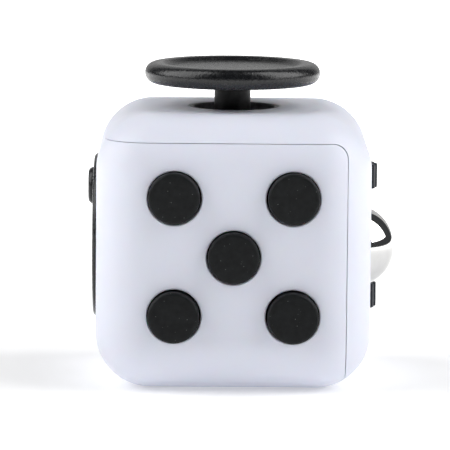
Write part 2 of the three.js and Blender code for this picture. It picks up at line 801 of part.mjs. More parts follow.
// The rocker when it is level, seen along its axle.
const ROCKER_SIDE = [
  [-7.4, -0.3],
  [-7.4, -1.6],
  [-5.6, -2.5],
  [-1.7, -4.1],
  [-0.8, -ROCKER_PIVOT - CAM_LENGTH + 0.55],
  [-0.3, -ROCKER_PIVOT - CAM_LENGTH],
  [0.3, -ROCKER_PIVOT - CAM_LENGTH],
  [0.8, -ROCKER_PIVOT - CAM_LENGTH + 0.55],
  [1.7, -4.1],
  [5.6, -2.5],
  [7.4, -1.6],
  [7.4, -0.3],
  [4.2, 0.35],
  [1.5, 1.75],
  [0.6, ROCKER_RIDGE],
  [-0.6, ROCKER_RIDGE],
  [-1.5, 1.75],
  [-4.2, 0.35],
];

function rockerShape() {
  const half = ROCKER_WIDTH / 2;
  const side = alongX(pairs(...ROCKER_SIDE), -half, half);
  const plan = plate(pill(ROCKER_LENGTH / 2, half), -12, 6);
  const bore = alongX(circle(AXLE_RADIUS + FIT, 12, 0, -ROCKER_PIVOT), -half - 1, half + 1);
  return cut(common(side, plan), bore);
}

// A cradle under the rocker: a hat-shaped floor with a tab at each end, and two ears for the axle.
function flipBaseShape() {
  const low = FLIP_FLOOR - 0.8;
  const tabLow = FLIP_TAB - 0.8;
  const side = [
    [-10.6, FLIP_TAB],
    [-10.6, tabLow],
    [-8, tabLow],
    [-6.6, low],
    [6.6, low],
    [8, tabLow],
    [10.6, tabLow],
    [10.6, FLIP_TAB],
    [7.4, FLIP_TAB],
    [6, FLIP_FLOOR],
    [-6, FLIP_FLOOR],
    [-7.4, FLIP_TAB],
  ];
  const floor = alongX(pairs(...side), -EAR_OUTER, EAR_OUTER);
  const axle = circle(AXLE_RADIUS + 0.1, 12, 0, -ROCKER_PIVOT);
  const ear = pairs([-3, FLIP_FLOOR - 0.4], [3, FLIP_FLOOR - 0.4], [1.6, -2.15], [-1.6, -2.15]);
  const ears = [-1, 1].map((side) => {
    const [x0, x1] = side > 0 ? [EAR_INNER, EAR_OUTER] : [-EAR_OUTER, -EAR_INNER];
    return alongX(ear, x0, x1, axle);
  });
  const holes = [1, -1].map((end) => cylinder(PILOT, -12, 0, 10, 0, end * FLIP_SCREW));
  return cut(join(floor, ...ears), ...holes);
}

// An arched leaf with a bump in its middle. The rocker's cam rests on one side of the bump or the other.
const LEAF_LINE = [
  [-5.3, FLIP_FLOOR + 0.15],
  [-4.4, FLIP_FLOOR + 0.2],
  [-1.3, FLIP_FLOOR + 0.75],
  [-0.65, FLIP_FLOOR + 0.85],
  [0, FLIP_FLOOR + 1.25],
  [0.65, FLIP_FLOOR + 0.85],
  [1.3, FLIP_FLOOR + 0.75],
  [4.4, FLIP_FLOOR + 0.2],
  [5.3, FLIP_FLOOR + 0.15],
];

function buildRocker(group) {
  const pivot = new THREE.Group();
  pivot.position.set(0, 0, -ROCKER_PIVOT);
  pivot.rotation.x = THREE.MathUtils.degToRad(ROCKER_TILT);
  group.add(pivot);
  add(pivot, "flip_rocker", BLACK, rockerShape().translate(0, 0, ROCKER_PIVOT));
  const pin = alongX(circle(AXLE_RADIUS, 12, 0, -ROCKER_PIVOT), -EAR_OUTER, EAR_OUTER);
  add(group, "flip_axle", STEEL, pin);
  add(group, "flip_base", BLACK, flipBaseShape());
  add(group, "flip_leaf_spring", STEEL, alongX(strip(LEAF_LINE, 0.2), -1.5, 1.5));
  [1, -1].forEach((end, i) => {
    addScrew(group, `flip_base_screw_${i + 1}`, 0, end * FLIP_SCREW, FLIP_TAB - 0.85, 2.7);
  });
}

const rockerOpening = plate(pill(ROCKER_LENGTH / 2 + 0.75, ROCKER_WIDTH / 2 + 0.3), -WALL - 1, 1);

// ---- Bottom face: the thumb dish, sunk in the front shell's floor -----------------------------------

function dishTool() {
  const radius = (DISH_RADIUS ** 2 + DISH_DEPTH ** 2) / (2 * DISH_DEPTH);
  const reach = THREE.MathUtils.radToDeg(Math.asin(DISH_RADIUS / radius));
  const bowl = arc(0, radius - DISH_DEPTH, radius, -90, -90 + reach, 7);
  return revolve([...bowl, [DISH_RADIUS, 1], [0, 1]], 32);
}

const dishBacking = revolve(
  [
    [0, -WALL - 1.1],
    [6.5, -WALL - 1.1],
    [9, -WALL],
    [9, -WALL + 0.5],
    [0, -WALL + 0.5],
  ],
  24,
);

// ---- The two shells -------------------------------------------------------------------------------
// The front shell is the front, left and bottom faces, and the rear shell the top, right and back
// ones. They part where a box with its corner SEAM_INSET inside the rear shell's faces cuts the wall,
// and the front shell's tongue reaches on under the rear shell's edge.

const CORNER_STEPS = 3;

function roundedCube(inset) {
  const size = CUBE - 2 * inset;
  return new RoundedBoxGeometry(size, size, size, CORNER_STEPS, EDGE_RADIUS - inset);
}

function partingBox(beyond) {
  const size = 40;
  const shift = HALF - SEAM_INSET + beyond - size / 2;
  const made = new RoundedBoxGeometry(size, size, size, 3, SEAM_CORNER);
  return made.translate(shift, shift, shift);
}

function onFace(name, ...tools) {
  return tools.map((tool) => tool.clone().applyMatrix4(FACES[name]));
}

function bosses(list, end, radius) {
  return list.map(([x, y]) => boss(x, y, end, radius));
}

function pilots(list, end) {
  return list.map(([x, y]) => pilotHole(x, y, end));
}

const CAGE_SCREWS = FOUR_CORNERS.map(([sx, sy]) => [sx * CAGE_SCREW, sy * CAGE_SCREW]);
const FLIP_SCREWS = [
  [0, FLIP_SCREW],
  [0, -FLIP_SCREW],
];
const CLICK_BOSS_END = CLICK_BOARD_TOP + REST;
const CAGE_BOSS_END = CAGE_FLOOR + REST;
const FRAME_BOSS_END = FRAME_TOP + REST;
const FLIP_BOSS_END = FLIP_TAB + REST;
const wallOuter = roundedCube(0);
const cavity = roundedCube(WALL);

function frontShellShape() {
  const wall = common(cut(wallOuter, cavity), partingBox(-SEAM_GAP / 2));
  const lip = common(cut(roundedCube(WALL - TONGUE), cavity), partingBox(TONGUE_REACH));
  const filled = join(
    wall,
    lip,
    ...onFace("front", ...bosses(CLICK_SCREWS, CLICK_BOSS_END)),
    ...onFace("left", springPost),
    ...onFace("bottom", dishBacking),
  );
  return cut(
    filled,
    ...onFace("front", ...buttonHoles, ...pilots(CLICK_SCREWS, CLICK_BOSS_END)),
    ...onFace("left", cylinder(DIAL_RADIUS + 0.3, -RECESS_DEPTH, 2, 32)),
    ...onFace("left", cylinder(SHAFT_RADIUS + FIT, -WALL - 1, 0, 24), springSlot),
    ...onFace("bottom", dishTool()),
  );
}

function rearShellShape() {
  const tongueRoom = common(roundedCube(WALL - TONGUE - FIT), partingBox(TONGUE_REACH + FIT));
  const wall = cut(wallOuter, cavity, partingBox(SEAM_GAP / 2), tongueRoom);
  const filled = join(
    wall,
    ...onFace("top", ...bosses(CAGE_SCREWS, CAGE_BOSS_END)),
    ...onFace("right", ...bosses(FRAME_SCREWS, FRAME_BOSS_END, BOSS_RADIUS - 0.1)),
    ...onFace("back", ...bosses(FLIP_SCREWS, FLIP_BOSS_END)),
  );
  return cut(
    filled,
    ...onFace("top", cylinder(COLLAR_OUTER + 0.1, -WALL - 1, 1, 32), ...pilots(CAGE_SCREWS, CAGE_BOSS_END)),
    ...onFace("right", ballPocket, ...gearSlots, ...pilots(FRAME_SCREWS, FRAME_BOSS_END)),
    ...onFace("back", rockerOpening, ...pilots(FLIP_SCREWS, FLIP_BOSS_END)),
  );
}

// ---- Assembly -------------------------------------------------------------------------------------

add(cube, "front_shell", WHITE, frontShellShape());
add(cube, "rear_shell", WHITE, rearShellShape());
buildButtons(groups.front);
buildGlide(groups.top);
buildDial(groups.left);
buildRoll(groups.right);
buildRocker(groups.back);

// The origin goes to the bottom centre of the overall envelope.
const envelope = new THREE.Box3().setFromObject(cube, true);
const centre = envelope.getCenter(new THREE.Vector3());
cube.position.set(-centre.x, -centre.y, -envelope.min.z);

const part = new THREE.Group();
part.add(cube);

export default part;
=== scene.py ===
"""A fidget cube in satin white and sandy black plastic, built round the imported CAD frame.

Each moving piece is made in millimetres on its own face of the cube, replaces one CAD node and rides
on that node's body. CAD nodes with no replacement stay, and only get a finish.
"""

import json
import math

import bmesh
import bpy
from mathutils import Matrix, Vector

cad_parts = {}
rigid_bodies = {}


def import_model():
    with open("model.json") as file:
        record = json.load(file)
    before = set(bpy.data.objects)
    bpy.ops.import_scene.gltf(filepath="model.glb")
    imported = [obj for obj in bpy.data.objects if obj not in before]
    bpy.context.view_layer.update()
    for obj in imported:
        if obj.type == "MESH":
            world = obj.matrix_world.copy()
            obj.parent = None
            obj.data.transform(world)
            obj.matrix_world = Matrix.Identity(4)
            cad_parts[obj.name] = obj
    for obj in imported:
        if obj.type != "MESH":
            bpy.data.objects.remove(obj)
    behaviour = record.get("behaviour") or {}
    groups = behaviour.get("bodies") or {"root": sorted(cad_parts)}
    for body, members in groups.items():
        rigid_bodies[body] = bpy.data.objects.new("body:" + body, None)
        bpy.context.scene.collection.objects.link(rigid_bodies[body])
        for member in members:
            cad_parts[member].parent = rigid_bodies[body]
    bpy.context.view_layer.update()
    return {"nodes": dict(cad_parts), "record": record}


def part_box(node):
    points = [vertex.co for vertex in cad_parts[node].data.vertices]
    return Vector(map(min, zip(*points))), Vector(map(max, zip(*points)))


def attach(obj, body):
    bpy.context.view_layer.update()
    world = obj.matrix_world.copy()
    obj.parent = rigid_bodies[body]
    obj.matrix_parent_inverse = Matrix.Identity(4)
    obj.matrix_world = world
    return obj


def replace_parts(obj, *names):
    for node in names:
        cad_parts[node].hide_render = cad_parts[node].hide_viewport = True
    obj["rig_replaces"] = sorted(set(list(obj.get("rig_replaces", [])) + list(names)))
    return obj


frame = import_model()

# ---- Sizes, in millimetres from the cube's centre -----------------------------------------------

MM = 0.001
CUBE = 33.0
HALF = CUBE / 2
EDGE_RADIUS = 6.6
WALL = 2.0
SEAM_INSET = 3.0
SEAM_CORNER = 1.8
SEAM_GAP = 0.07
TONGUE = 0.9
TONGUE_REACH = 0.7
FIT = 0.15

BUTTON_RADIUS = 3.08
BUTTON_PITCH = 14.22
BUTTON_HOLE = 3.22
BUTTON_HOLE_PITCH = 14.12
BUTTON_PROUD = 1.2
BUTTON_FLANGE = 4.0

CAP_RADIUS = 10.67
CAP_UNDER = 2.8
CAP_RIM = 1.25
CAP_DISH = 0.52
CAP_DISH_RADIUS = 7.8
DISC_ASIDE = -0.22
STEM_RADIUS = 2.2
COLLAR_OUTER = 5.4

DIAL_RADIUS = 10.0
DIAL_PROUD = 0.5
RECESS_DEPTH = 1.1
NUB_RADIUS = 2.25
NUB_PROUD = 1.2
NUB_ORBIT = 6.05
DIAL_RISE = 0.55

BALL_RADIUS = 5.0
BALL_DEPTH = 2.0
BALL_ASIDE = 4.4
GEAR_RADIUS = 4.4
GEAR_WIDTH = 3.0
GEAR_TEETH = 15
GEAR_DEPTH = 3.1
GEAR_ASIDE = 6.2
GEAR_PITCH = 7.4
AXLE_RADIUS = 0.75

ROCKER_LENGTH = 14.4
ROCKER_WIDTH = 7.0
ROCKER_PIVOT = 3.6
ROCKER_TILT = 11.0

DISH_RADIUS = 8.0
DISH_DEPTH = 1.3

X, Y, Z = Vector((1, 0, 0)), Vector((0, 1, 0)), Vector((0, 0, 1))

# The front shell holds the cube's lowest corner on all three axes.
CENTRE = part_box("front_shell")[0] + Vector((HALF, HALF, HALF)) * MM
TO_ROW = Matrix.Translation(CENTRE) @ Matrix.Scale(MM, 4)


def face_frame(x, y, rise=0.0):
    """From millimetres on a face to millimetres about the cube's centre.

    On the face, +Z is outwards and 0 is its surface. Its origin is the face's middle, raised along Y.
    """
    out = x.cross(y)
    turn = Matrix((x, y, out)).transposed().to_4x4()
    return Matrix.Translation(out * HALF + y * rise) @ turn


FACES = {
    "front": face_frame(X, Z),
    "back": face_frame(-X, Z),
    "left": face_frame(-Y, Z, DIAL_RISE),
    "right": face_frame(Y, Z),
    "top": face_frame(X, Y),
    "bottom": face_frame(X, -Y),
}

# ---- Mesh tools ---------------------------------------------------------------------------------


def new_object(name, bm):
    """An object of a finished bmesh, with doubles merged and its normals outwards."""
    bmesh.ops.remove_doubles(bm, verts=bm.verts, dist=1e-5)
    bmesh.ops.recalc_face_normals(bm, faces=bm.faces)
    mesh = bpy.data.meshes.new(name)
    bm.to_mesh(mesh)
    bm.free()
    made = bpy.data.objects.new(name, mesh)
    bpy.context.scene.collection.objects.link(made)
    return made


def moved(obj, matrix):
    """The object with its mesh moved by a matrix."""
    obj.data.transform(matrix)
    return obj


def rounded(corners, steps=6):
    """A line through (a, b) or (a, b, radius) corners, with an arc at each corner that has a radius."""
    points = []
    for i, corner in enumerate(corners):
        here = Vector(corner[:2])
        radius = corner[2] if len(corner) > 2 else 0
        if radius == 0 or i in (0, len(corners) - 1):
            points.append(here)
            continue
        to_last = (Vector(corners[i - 1][:2]) - here).normalized()
        to_next = (Vector(corners[i + 1][:2]) - here).normalized()
        half = to_last.angle(to_next) / 2
        middle = here + (to_last + to_next).normalized() * (radius / math.sin(half))
        reach = radius / math.tan(half)
        start = here + to_last * reach - middle
        turn = start.angle_signed(here + to_next * reach - middle)
        for k in range(steps + 1):
            a = -turn * k / steps
            arm = Vector(
                (
                    start.x * math.cos(a) - start.y * math.sin(a),
                    start.x * math.sin(a) + start.y * math.cos(a),
                )
            )
            points.append(middle + arm)
    return points


def arc(x, y, radius, start, end, steps):
    """Points on an arc about (x, y), from one angle to another in degrees."""
    angles = [math.radians(start + (end - start) * k / steps) for k in range(steps + 1)]
    return [(x + radius * math.cos(a), y + radius * math.sin(a)) for a in angles]


def lathe(name, profile, steps=96):
    """A body of revolution about Z. The profile's ends are on the axis, or it is closed on itself."""
    bm = bmesh.new()
    rings = []
    for r, z in profile:
        if r < 1e-6:
            rings.append([bm.verts.new((0, 0, z))])
            continue
        angles = [2 * math.pi * k / steps for k in range(steps)]
        rings.append([bm.verts.new((r * math.cos(a), r * math.sin(a), z)) for a in angles])
    if len(rings[0]) > 1:
        rings.append(rings[0])
    for below, above in zip(rings, rings[1:]):
        for k in range(steps):
            n = (k + 1) % steps
            if len(below) == 1 and len(above) == 1:
                continue
            if len(below) == 1:
                bm.faces.new((below[0], above[n], above[k]))
            elif len(above) == 1:
                bm.faces.new((below[k], below[n], above[0]))
            else:
                bm.faces.new((below[k], below[n], above[n], above[k]))
    return new_object(name, bm)


def prism(name, outline, low, high):
    """A plate of an outline in XY, from one height to another."""
    bm = bmesh.new()
    bottom = [bm.verts.new((p[0], p[1], low)) for p in outline]
    top = [bm.verts.new((p[0], p[1], high)) for p in outline]
    bm.faces.new(bottom[::-1])
    bm.faces.new(top)
    for k in range(len(outline)):
        n = (k + 1) % len(outline)
        bm.faces.new((bottom[k], bottom[n], top[n], top[k]))
    return new_object(name, bm)


def rounded_box(name, half, radius, arc_steps, flat_steps=4):
    """A cube with all its edges and corners rounded."""
    flat = half - radius
    bend = [flat + radius * math.tan(math.radians(45 * k / arc_steps)) for k in range(1, arc_steps + 1)]
    level = [flat * (2 * k / flat_steps - 1) for k in range(flat_steps + 1)]
    line = [-b for b in reversed(bend)] + level + bend
    bm = bmesh.new()
    for frame_of_face in FACES.values():
        turn = frame_of_face.to_3x3()
        grid = []
        for v in line:
            row = []
            for u in line:
                point = turn @ Vector((u, v, half))
                inner = Vector([max(-flat, min(flat, c)) for c in point])
                row.append(bm.verts.new(inner + (point - inner).normalized() * radius))
            grid.append(row)
        for low_row, high_row in zip(grid, grid[1:]):
            for k in range(len(line) - 1):
                bm.faces.new((low_row[k], low_row[k + 1], high_row[k + 1], high_row[k]))
    return new_object(name, bm)


def block(x0, x1, y0, y1, z0, z1):
    outline = [(x0, y0), (x1, y0), (x1, y1), (x0, y1)]
    return prism("block", outline, z0, z1)


def circle(radius, steps=64, x=0.0, y=0.0):
    """Corner points of a circle, as a polygon."""
    angles = [2 * math.pi * k / steps for k in range(steps)]
    return [(x + radius * math.cos(a), y + radius * math.sin(a)) for a in angles]


def joined(objects):
    """One object of several separate closed meshes."""
    bm = bmesh.new()
    for obj in objects:
        bm.from_mesh(obj.data)
        bpy.data.objects.remove(obj)
    return new_object("joined", bm)


def boolean(obj, operation, tool):
    """The object cut by, joined to or kept inside another, which is used up."""
    step = obj.modifiers.new("step", "BOOLEAN")
    step.operation = operation
    step.solver = "EXACT"
    step.object = tool
    graph = bpy.context.evaluated_depsgraph_get()
    mesh = bpy.data.meshes.new_from_object(obj.evaluated_get(graph))
    obj.modifiers.clear()
    obj.data = mesh
    bpy.data.objects.remove(tool)
    return obj


def inside(obj, tool):
    return boolean(obj, "INTERSECT", tool)


def cut(obj, *tools):
    return boolean(obj, "DIFFERENCE", joined(tools) if len(tools) > 1 else tools[0])


def add(obj, *tools):
    return boolean(obj, "UNION", joined(tools) if len(tools) > 1 else tools[0])


def soften(obj, width, steps, angle):
    """Rounds the edges sharper than an angle."""
    bevel = obj.modifiers.new("soften", "BEVEL")
    bevel.width = width
    bevel.segments = steps
    bevel.limit_method = "ANGLE"
    bevel.angle_limit = math.radians(angle)
    graph = bpy.context.evaluated_depsgraph_get()
    mesh = bpy.data.meshes.new_from_object(obj.evaluated_get(graph))
    obj.modifiers.clear()
    obj.data = mesh
    return obj


def shade(obj, angle=30):
    """Smooth shading between the sharp edges, with flat faces kept flat."""
    mesh = obj.data
    for polygon in mesh.polygons:
        polygon.use_smooth = True
    mesh.set_sharp_from_angle(angle=math.radians(angle))
    weighted = obj.modifiers.new("even shading", "WEIGHTED_NORMAL")
    weighted.keep_sharp = True
    weighted.weight = 80
    return obj


BODY_OF = {
    node: body
    for body, nodes in frame["record"]["behaviour"]["bodies"].items()
    for node in nodes
}


def piece(obj, name, node, material):
    """Names a finished mesh in cube millimetres, and puts it in the place of its CAD node."""
    obj.name = name
    obj.data.name = name
    moved(obj, TO_ROW)
    shade(obj)
    obj.data.materials.clear()
    obj.data.materials.append(material)
    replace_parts(obj, node)
    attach(obj, BODY_OF[node])

# ---- Materials ----------------------------------------------------------------------------------


class Nodes:
    """A material's node tree, with short ways to add what the finishes here share."""

    def __init__(self, name):
        self.material = bpy.data.materials.new(name)
        self.material.use_nodes = True
        self.tree = self.material.node_tree
        self.shader = self.tree.nodes["Principled BSDF"]
        self.place = self.add("ShaderNodeTexCoord").outputs["Object"]

    def add(self, kind, **values):
        node = self.tree.nodes.new(kind)
        for key, value in values.items():
            setattr(node, key, value)
        return node

    def link(self, source, target):
        self.tree.links.new(source, target)

    def set(self, **values):
        for key, value in values.items():
            self.shader.inputs[key.replace("_", " ")].default_value = value

    def scaled(self, per_mm):
        """The object's own coordinates, in so many units per millimetre along each axis."""
        mapping = self.add("ShaderNodeMapping")
        scale = per_mm if isinstance(per_mm, tuple) else (per_mm,) * 3
        mapping.inputs["Scale"].default_value = [s / MM for s in scale]
        self.link(self.place, mapping.inputs["Vector"])
        return mapping.outputs["Vector"]

    def noise(self, per_mm, detail=2.0, roughness=0.5, distortion=0.0):
        node = self.add("ShaderNodeTexNoise")
        node.inputs["Scale"].default_value = 1.0
        node.inputs["Detail"].default_value = detail
        node.inputs["Roughness"].default_value = roughness
        node.inputs["Distortion"].default_value = distortion
        self.link(self.scaled(per_mm), node.inputs["Vector"])
        return node.outputs["Fac"]

    def cells(self, per_mm):
        node = self.add("ShaderNodeTexVoronoi")
        node.inputs["Scale"].default_value = 1.0
        self.link(self.scaled(per_mm), node.inputs["Vector"])
        return node.outputs["Distance"]

    def ramp(self, source, *stops, interpolation="LINEAR"):
        """A colour ramp through (position, colour or grey) stops."""
        node = self.add("ShaderNodeValToRGB")
        node.color_ramp.interpolation = interpolation
        elements = node.color_ramp.elements
        while len(elements) < len(stops):
            elements.new(0.5)
        for element, (position, colour) in zip(elements, stops):
            element.position = position
            grey = (colour,) * 3 if isinstance(colour, (int, float)) else colour
            element.color = (*grey, 1.0)
        self.link(source, node.inputs["Fac"])
        return node.outputs["Color"]

    def mix(self, factor, a, b):
        node = self.add("ShaderNodeMix", data_type="RGBA")
        for label, value in (("Factor", factor), ("A", a), ("B", b)):
            socket = node.inputs[label]
            if isinstance(value, bpy.types.NodeSocket):
                self.link(value, socket)
            elif label == "Factor":
                socket.default_value = value
            else:
                socket.default_value = (*value, 1.0)
        return node.outputs["Result"]

    def product(self, a, b):
        node = self.add("ShaderNodeMath", operation="MULTIPLY")
        self.link(a, node.inputs[0])
        self.link(b, node.inputs[1])
        return node.outputs["Value"]

    def colour(self, source):
        self.link(source, self.shader.inputs["Base Color"])

    def rough(self, source):
        self.link(source, self.shader.inputs["Roughness"])

    def bump(self, height, depth_mm, under=None):
        """A normal raised by a height, over another normal if there is one under it."""
        node = self.add("ShaderNodeBump")
        node.inputs["Distance"].default_value = depth_mm * MM
        node.inputs["Strength"].default_value = 1.0
        self.link(height, node.inputs["Height"])
        if under is not None:
            self.link(under, node.inputs["Normal"])
        return node.outputs["Normal"]

    def normal(self, source):
        self.link(source, self.shader.inputs["Normal"])


DUST = (0.16, 0.165, 0.16)
BLACK = (0.011, 0.0115, 0.013)


def shell_white():
    """Satin white ABS: an even cool white, with very faint flow clouds and moulding grain."""
    m = Nodes("white_abs")
    clouds = m.noise(0.09, detail=3)
    m.colour(m.ramp(clouds, (0.3, (0.76, 0.78, 0.88)), (0.7, (0.78, 0.8, 0.9))))
    handled = m.noise(0.35, detail=4, distortion=0.6)
    m.rough(m.ramp(handled, (0.35, 0.36), (0.7, 0.46)))
    grain = m.bump(m.noise(9.0, detail=2), 0.004)
    m.normal(m.bump(m.noise(0.25, detail=1), 0.02, under=grain))
    m.set(Subsurface_Weight=0.08, Subsurface_Scale=0.6 * MM, Specular_IOR_Level=0.42)
    return m.material


def black_plastic(name, colour, roughness, shine=0.4, grain=5.0, depth=0.012, dust=0.045):
    """Black plastic with a sandy mould texture, its grains per mm and depth in mm, and specks of dust."""
    m = Nodes(name)
    m.set(Specular_IOR_Level=shine)
    mottle = m.noise(1.3, detail=4)
    dark = tuple(c * 0.75 for c in colour)
    light = tuple(c * 1.3 for c in colour)
    base = m.ramp(mottle, (0.3, dark), (0.7, light))
    speck = m.ramp(m.cells(1.9), (0.0, 1.0), (dust, 0.0))
    chance = m.ramp(m.noise(1.1, detail=0), (0.5, 0.0), (0.56, 1.0))
    m.colour(m.mix(m.product(speck, chance), base, DUST))
    m.rough(m.ramp(m.noise(2.2, detail=3), (0.3, roughness - 0.06), (0.7, roughness + 0.08)))
    fine = m.bump(m.noise(grain, detail=2, roughness=0.7), depth)
    m.normal(m.bump(m.cells(grain * 0.6), depth * 0.6, under=fine))
    return m.material


def grey_plastic():
    """Unpainted grey acetal, waxy and slightly mottled."""
    m = Nodes("grey_acetal")
    m.colour(m.ramp(m.noise(0.8, detail=4), (0.3, (0.14, 0.145, 0.155)), (0.7, (0.19, 0.195, 0.2))))
    m.rough(m.ramp(m.noise(3.0), (0.3, 0.42), (0.7, 0.55)))
    m.normal(m.bump(m.noise(6.0), 0.006))
    return m.material


def silicone():
    """Milky translucent silicone with a dusty bloom."""
    m = Nodes("milky_silicone")
    m.colour(m.ramp(m.noise(0.7, detail=4), (0.3, (0.4, 0.42, 0.43)), (0.7, (0.52, 0.53, 0.54))))
    m.rough(m.ramp(m.noise(4.0), (0.3, 0.5), (0.7, 0.68)))
    m.normal(m.bump(m.noise(7.0), 0.01))
    m.set(Subsurface_Weight=0.35, Subsurface_Scale=0.8 * MM)
    return m.material


def circuit_board():
    """Green solder mask over copper tracks, with a glass weave under it."""
    m = Nodes("circuit_board")
    tracks = m.add("ShaderNodeTexBrick", offset=0.37)
    tracks.inputs["Scale"].default_value = 1.0
    tracks.inputs["Mortar Size"].default_value = 0.09
    tracks.inputs["Mortar Smooth"].default_value = 0.15
    tracks.inputs["Brick Width"].default_value = 2.6
    tracks.inputs["Row Height"].default_value = 1.3
    m.link(m.scaled(1.0), tracks.inputs["Vector"])
    weave = m.noise((7.0, 7.0, 7.0), detail=1)
    mask = m.ramp(weave, (0.3, (0.010, 0.075, 0.028)), (0.7, (0.014, 0.1, 0.038)))
    m.colour(m.mix(tracks.outputs["Fac"], mask, (0.03, 0.2, 0.07)))
    m.rough(m.ramp(m.noise(2.0), (0.3, 0.28), (0.7, 0.42)))
    m.normal(m.bump(tracks.outputs["Fac"], 0.03))
    return m.material


def ball_chrome():
    """A polished bearing ball, with hairline wear and a faint bloom of handling."""
    m = Nodes("polished_ball")
    m.set(Metallic=1.0)
    m.colour(m.ramp(m.noise(0.4, detail=3), (0.3, (0.66, 0.655, 0.645)), (0.7, (0.74, 0.74, 0.735))))
    hair = m.noise((1.2, 22.0, 1.6), detail=3, distortion=0.4)
    bloom = m.noise(0.5, detail=4, distortion=1.0)
    wear = m.mix(0.5, m.ramp(hair, (0.55, 0.0), (0.75, 1.0)), m.ramp(bloom, (0.4, 0.0), (0.8, 1.0)))
    m.rough(m.ramp(wear, (0.0, 0.035), (1.0, 0.11)))
    m.normal(m.bump(m.noise(3.0, detail=2), 0.0006))
    return m.material


def rolled_steel(name, colour, roughness):
    """Bright steel strip or wire, with fine drawn lines and small stains."""
    m = Nodes(name)
    m.set(Metallic=1.0)
    dark = tuple(c * 0.8 for c in colour)
    m.colour(m.ramp(m.noise(0.9, detail=4), (0.3, dark), (0.65, colour)))
    lines = m.noise((14.0, 14.0, 0.8), detail=3)
    m.rough(m.ramp(lines, (0.3, roughness - 0.08), (0.7, roughness + 0.1)))
    m.normal(m.bump(lines, 0.002))
    return m.material


WHITE = shell_white()
BUTTON_BLACK = black_plastic("soft_touch_black", (0.0072, 0.0082, 0.0088), 0.45, 0.16, grain=6.0, dust=0.13)
CAP_BLACK = black_plastic(
    "sandblasted_black", (0.005, 0.0055, 0.0065), 0.25, 0.5, grain=4.2, depth=0.022, dust=0.03
)
DIAL_BLACK = black_plastic("glossy_black", BLACK, 0.27, depth=0.004)
GEAR_BLACK = black_plastic("gear_black", (0.014, 0.017, 0.024), 0.45, 0.25)
FRAME_BLACK = black_plastic("frame_black", BLACK, 0.5)
STEM_BLACK = black_plastic("stem_black", (0.004, 0.004, 0.0045), 0.4, 0.25)
RING_GREY = black_plastic("ring_grey", (0.1, 0.1, 0.115), 0.4)
SLOT_FINISH = {
    "white_shell": WHITE,
    "black": FRAME_BLACK,
    "soft_black": BUTTON_BLACK,
    "grey": grey_plastic(),
    "silicone": silicone(),
    "circuit_board": circuit_board(),
    "chrome": ball_chrome(),
    "spring_steel": rolled_steel("spring_steel", (0.42, 0.43, 0.44), 0.3),
    "zinc_screw": rolled_steel("zinc_plate", (0.55, 0.54, 0.49), 0.36),
}

# ---- The two shells -----------------------------------------------------------------------------


def on_face(face, *tools):
    """Tools made on a face, moved to the cube."""
    return [moved(tool, FACES[face]) for tool in tools]


def cube_solid(inset, arc_steps=10):
    return rounded_box("cube", HALF - inset, EDGE_RADIUS - inset, arc_steps)


def parting_box(beyond):
    """The box whose corner of three faces is where the shells part."""
    size = 40.0
    shift = HALF - SEAM_INSET + beyond - size / 2
    return moved(rounded_box("parting", size / 2, SEAM_CORNER, 6, 1), Matrix.Translation((shift,) * 3))


def hole_tool(radius, lip=0.2, depth=4.0, steps=96):
    """A cutter for a round hole whose mouth has a small round lip."""
    lip_arc = arc(radius + lip, -lip, lip, 180, 100, 5)
    profile = [(0, -depth), (radius, -depth), *lip_arc, (radius + lip, 1.0), (0, 1.0)]
    return lathe("hole", profile, steps)


BOSS_RADIUS = 1.3
PILOT_RADIUS = 0.75


def bosses(places, end, radius=BOSS_RADIUS):
    """Screw bosses on the inside of a wall, reaching down to a level."""
    return [prism("boss", circle(radius, 32, x, y), end, -WALL + 0.5) for x, y in places]


def pilots(places, end):
    """Cutters for the screws' blind holes in those bosses."""
    return [prism("pilot", circle(PILOT_RADIUS, 24, x, y), end - 1, -WALL - 0.4) for x, y in places]


CORNERS = ((1, 1), (-1, 1), (-1, -1), (1, -1))
SQUARE = ((-1, -1), (1, -1), (1, 1), (-1, 1))
CLICK_SCREWS = [(0, 9.2), (0, -9.2), (-8.9, 0)]
CLICK_BOSS_END = -5.3
CAGE_SCREWS = [(sx * 8.9, sy * 8.9) for sx, sy in CORNERS]
CAGE_BOSS_END = -4.8
FRAME_SCREWS = [(-7.4, 8.4), (-7.4, -8.4), (9.6, 3.7), (9.6, -3.7)]
FRAME_BOSS_END = -8.0
FLIP_SCREWS = [(0, 9.4), (0, -9.4)]
FLIP_BOSS_END = -4.3

# Each button's column and row, and each gear's row, counted from the middle one.
BUTTONS = {
    "upper_left": (-1, 1),
    "upper_right": (1, 1),
    "centre": (0, 0),
    "lower_left": (-1, -1),
    "lower_right": (1, -1),
}
GEARS = {"upper": 1, "middle": 0, "lower": -1}


def dish_tool():
    """The bowl of the thumb dish, easing out into the flat of the face."""
    ball = (DISH_RADIUS**2 + DISH_DEPTH**2) / (2 * DISH_DEPTH)
    ease = 3.0
    slope = math.acos((ball - DISH_DEPTH + ease * 0.5) / (ball + ease))
    bowl = arc(0, ball - DISH_DEPTH, ball, -90, -90 + math.degrees(slope) * 0.9, 16)
    return lathe("dish", [*bowl, (DISH_RADIUS + 0.7, 0.03), (DISH_RADIUS + 0.7, 1.0), (0, 1.0)])


